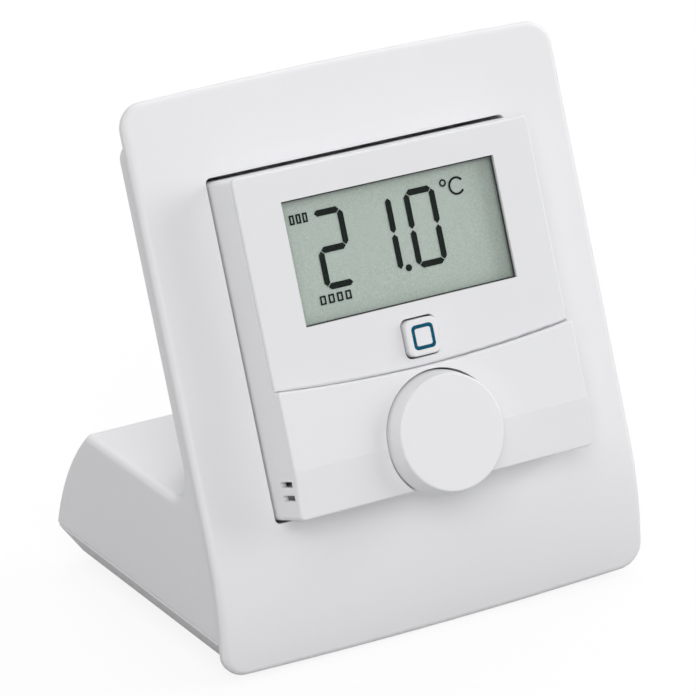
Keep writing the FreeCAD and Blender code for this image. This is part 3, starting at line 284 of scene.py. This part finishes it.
def mixed_passives(name):
    """Small parts told apart by where they stand: ceramic tan or resistor black."""
    look = Look(name, (0.35, 0.28, 0.18), 0.45)
    cell = look.add("ShaderNodeTexVoronoi", [("Vector", look.face_place())])
    cell.inputs["Scale"].default_value = 1.0 / (6.0 * MM)
    pick = look.add("ShaderNodeSeparateColor", [("Color", cell.outputs["Color"])]).outputs["Red"]
    grain = look.noise(0.2, detail=2.0)
    tan = look.blend(look.spread(grain, 0.0, 1.0), (0.42, 0.30, 0.17), (0.55, 0.42, 0.26))
    look.drive("Base Color", look.blend(look.maths("GREATER_THAN", pick, 0.6), tan, (0.05, 0.05, 0.055)))
    look.drive("Roughness", look.spread(grain, 0.35, 0.55))
    look.drive("Normal", look.bump(grain, 0.01, 0.5, look.soft_edges(0.08)))
    return look.material


def cell_sleeve(name, node, stud_side):
    """Printed sleeve over a steel can: dark body, copper-coloured shoulder, bare ends."""
    low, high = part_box(node)
    shoulder_length, stud_height, flat_rim = 10.5 * MM, 1.15 * MM, 0.25 * MM
    look = Look(name, (0.03, 0.04, 0.05), 0.3, Coat_Weight=0.5, Coat_Roughness=0.12)
    across = look.add("ShaderNodeSeparateXYZ", [("Vector", look.place())]).outputs["X"]
    stud_end = high.x if stud_side > 0 else low.x
    flat_end = low.x if stud_side > 0 else high.x
    from_stud = look.maths("ABSOLUTE", look.maths("SUBTRACT", across, stud_end))
    from_flat = look.maths("ABSOLUTE", look.maths("SUBTRACT", across, flat_end))
    fleck = look.noise(0.4, detail=2.0)
    body = look.blend(look.spread(fleck, 0.0, 1.0), (0.018, 0.030, 0.040), (0.028, 0.046, 0.060))
    shoulder = look.blend(look.spread(fleck, 0.0, 1.0), (0.50, 0.24, 0.10), (0.62, 0.32, 0.15))
    on_shoulder = look.maths("LESS_THAN", from_stud, shoulder_length)
    painted = look.blend(on_shoulder, body, shoulder)
    bare = look.maths("MAXIMUM", look.maths("LESS_THAN", from_stud, stud_height),
                      look.maths("LESS_THAN", from_flat, flat_rim))
    look.drive("Base Color", look.blend(bare, painted, (0.62, 0.61, 0.59)))
    look.drive("Metallic", look.maths("MAXIMUM", bare, look.maths("MULTIPLY", on_shoulder, 0.75)))
    look.drive("Roughness", look.spread(fleck, 0.24, 0.38))
    look.drive("Normal", look.bump(fleck, 0.004, 0.4, look.soft_edges(0.1)))
    return look.material


stand_white = moulded_plastic("stand_white", WHITE, 0.48)
cover_white = moulded_plastic("cover_white", shade(WHITE, 0.97), 0.55)
case_white = moulded_plastic("case_white", WHITE, 0.40, grain_mm=0.4, depth_mm=0.003, mottle=0.008)
panel_white = moulded_plastic("panel_white", shade(WHITE, 0.985), 0.30, grain_mm=0.3, depth_mm=0.0003,
                              edge_mm=0.06, mottle=0.004, wander=0.015)
knob_white = moulded_plastic("knob_white", (0.81, 0.81, 0.825), 0.42, grain_mm=0.4, depth_mm=0.004)
button_white = moulded_plastic("button_white", WHITE, 0.40, grain_mm=0.35, depth_mm=0.003)
steel = plated_metal("zinc_plated_steel", (0.60, 0.60, 0.61), 0.32, 0.12)
black_compound = component_plastic("black_compound", (0.022, 0.022, 0.024))

NODE_MATERIALS = {
    "stand_front_plate": stand_white,
    "stand_rear_shell": stand_white,
    "stand_bottom_cover": cover_white,
    "rubber_feet": rubber("foot_rubber", (0.055, 0.055, 0.058)),
    "cover_screws": steel,
    "mounting_plate": case_white,
    "mounting_plate_screws": steel,
    "unit_housing": case_white,
    "display_panel": panel_white,
    "display_gasket": rubber("gasket_foam", (0.030, 0.034, 0.032)),
    "lcd_glass": display_glass("display_glass"),
    "lcd_segments": display_ink("display_ink"),
    "lcd_reflector": speckled_display("display_reflector"),
    "backlight_diffuser": frosted_plastic("frosted_diffuser"),
    "lcd_frame": component_plastic("frame_black", (0.030, 0.030, 0.032)),
    "elastomer_connector": rubber("zebra_strip", (0.28, 0.20, 0.19)),
    "circuit_board": solder_mask("solder_mask_green"),
    "encoder_body": black_compound,
    "tact_switch_body": black_compound,
    "status_led": component_plastic("led_body", (0.78, 0.74, 0.55), 0.4),
    "microcontroller": black_compound,
    "radio_module": plated_metal("tinned_can", (0.68, 0.68, 0.67), 0.28, 0.2),
    "wire_antenna": plated_metal("bare_copper", (0.72, 0.40, 0.24), 0.25, 0.15),
    "climate_sensor": black_compound,
    "board_passives": mixed_passives("board_passives"),
    "back_housing": case_white,
    "battery_lower": cell_sleeve("cell_sleeve_right", "battery_lower", 1),
    "battery_upper": cell_sleeve("cell_sleeve_left", "battery_upper", -1),
    "battery_springs": plated_metal("nickel_wire", (0.66, 0.64, 0.60), 0.22, 0.1),
    "battery_contact_plates": plated_metal("nickel_sheet", (0.66, 0.64, 0.60), 0.26, 0.15),
    "housing_screws": steel,
    "system_button": button_white,
    "light_ring": light_guide("light_ring_blue", (0.002, 0.088, 0.155)),
    "tact_plunger": black_compound,
    "encoder_push_sleeve": plated_metal("turned_sleeve", (0.70, 0.70, 0.71), 0.30, 0.1),
    "setting_knob": knob_white,
    "knob_shaft": plated_metal("turned_shaft", (0.70, 0.70, 0.71), 0.26, 0.1),
}

for node, material in NODE_MATERIALS.items():
    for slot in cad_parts[node].material_slots:
        slot.material = material


# ---------------------------------------------------------------- stage
def make_floor():
    """Pale paper that glows to the camera only: shadows on it stay faint."""
    bpy.ops.mesh.primitive_plane_add(size=FLOOR_SIZE, location=(0, 0, -FLOOR_DROP))
    floor = bpy.context.active_object
    floor.name = "floor"
    look = Look("floor_paper", FLOOR_TONE, 0.9)
    fibre = look.noise(1.5, detail=3.0)
    tone = look.blend(look.spread(fibre, 0.0, 1.0), shade(FLOOR_TONE, 0.98), FLOOR_TONE)
    look.drive("Base Color", tone)
    glow = look.add("ShaderNodeEmission")
    glow.inputs["Strength"].default_value = FLOOR_GLOW
    seen = look.add("ShaderNodeLightPath").outputs["Is Camera Ray"]
    mix = look.add("ShaderNodeMixShader", [("Fac", look.maths("MULTIPLY", seen, FLOOR_GLOW_SHARE))])
    look.tree.links.new(look.surface.outputs["BSDF"], mix.inputs[1])
    look.tree.links.new(glow.outputs["Emission"], mix.inputs[2])
    look.tree.links.new(mix.outputs["Shader"], look.tree.nodes["Material Output"].inputs["Surface"])
    floor.data.materials.append(look.material)


def area_light(name, azimuth, elevation, power):
    """Square soft light that looks at the object."""
    a, e = math.radians(azimuth), math.radians(elevation)
    back = Vector((math.sin(a) * math.cos(e), -math.cos(a) * math.cos(e), math.sin(e)))
    data = bpy.data.lights.new(name, "AREA")
    data.size = LIGHT_SIZE
    data.energy = power
    light = bpy.data.objects.new(name, data)
    light.location = LIGHT_AIM + back * LIGHT_DISTANCE
    light.rotation_euler = back.to_track_quat("Z", "Y").to_euler()
    bpy.context.scene.collection.objects.link(light)


def make_lights():
    """Soft boxes all round, brightest in front of the face and to its right."""
    for name, setting in LIGHTS.items():
        area_light(name, *setting)


def make_world():
    """Dim grey room light, seen by the camera as a pale backdrop."""
    world = bpy.data.worlds.new("studio")
    world.use_nodes = True
    tree = world.node_tree
    room = tree.nodes["Background"]
    room.inputs["Color"].default_value = (1, 1, 1, 1)
    path = tree.nodes.new("ShaderNodeLightPath")
    strength = tree.nodes.new("ShaderNodeMapRange")
    strength.inputs["To Min"].default_value = ROOM_LIGHT
    strength.inputs["To Max"].default_value = BACKDROP
    tree.links.new(path.outputs["Is Camera Ray"], strength.inputs["Value"])
    tree.links.new(strength.outputs["Result"], room.inputs["Strength"])
    bpy.context.scene.world = world


def make_camera():
    """Long lens off the object's left front corner, above it and slightly rolled."""
    forward = (CAMERA_TARGET - CAMERA_PLACE).normalized()
    level = forward.cross(Vector((0, 0, 1))).normalized()
    above = level.cross(forward)
    side = math.cos(CAMERA_ROLL) * level + math.sin(CAMERA_ROLL) * above
    up = math.cos(CAMERA_ROLL) * above - math.sin(CAMERA_ROLL) * level
    data = bpy.data.cameras.new("camera")
    data.sensor_width = SENSOR_WIDTH
    data.lens = CAMERA_LENS
    data.clip_start = 0.05
    data.clip_end = 20.0
    camera = bpy.data.objects.new("camera", data)
    turn = Matrix((side, up, -forward)).transposed().to_4x4()
    camera.matrix_world = Matrix.Translation(CAMERA_PLACE) @ turn
    bpy.context.scene.collection.objects.link(camera)
    bpy.context.scene.camera = camera


make_floor()
make_lights()
make_world()
make_camera()
bpy.context.scene.view_settings.view_transform = "Standard"
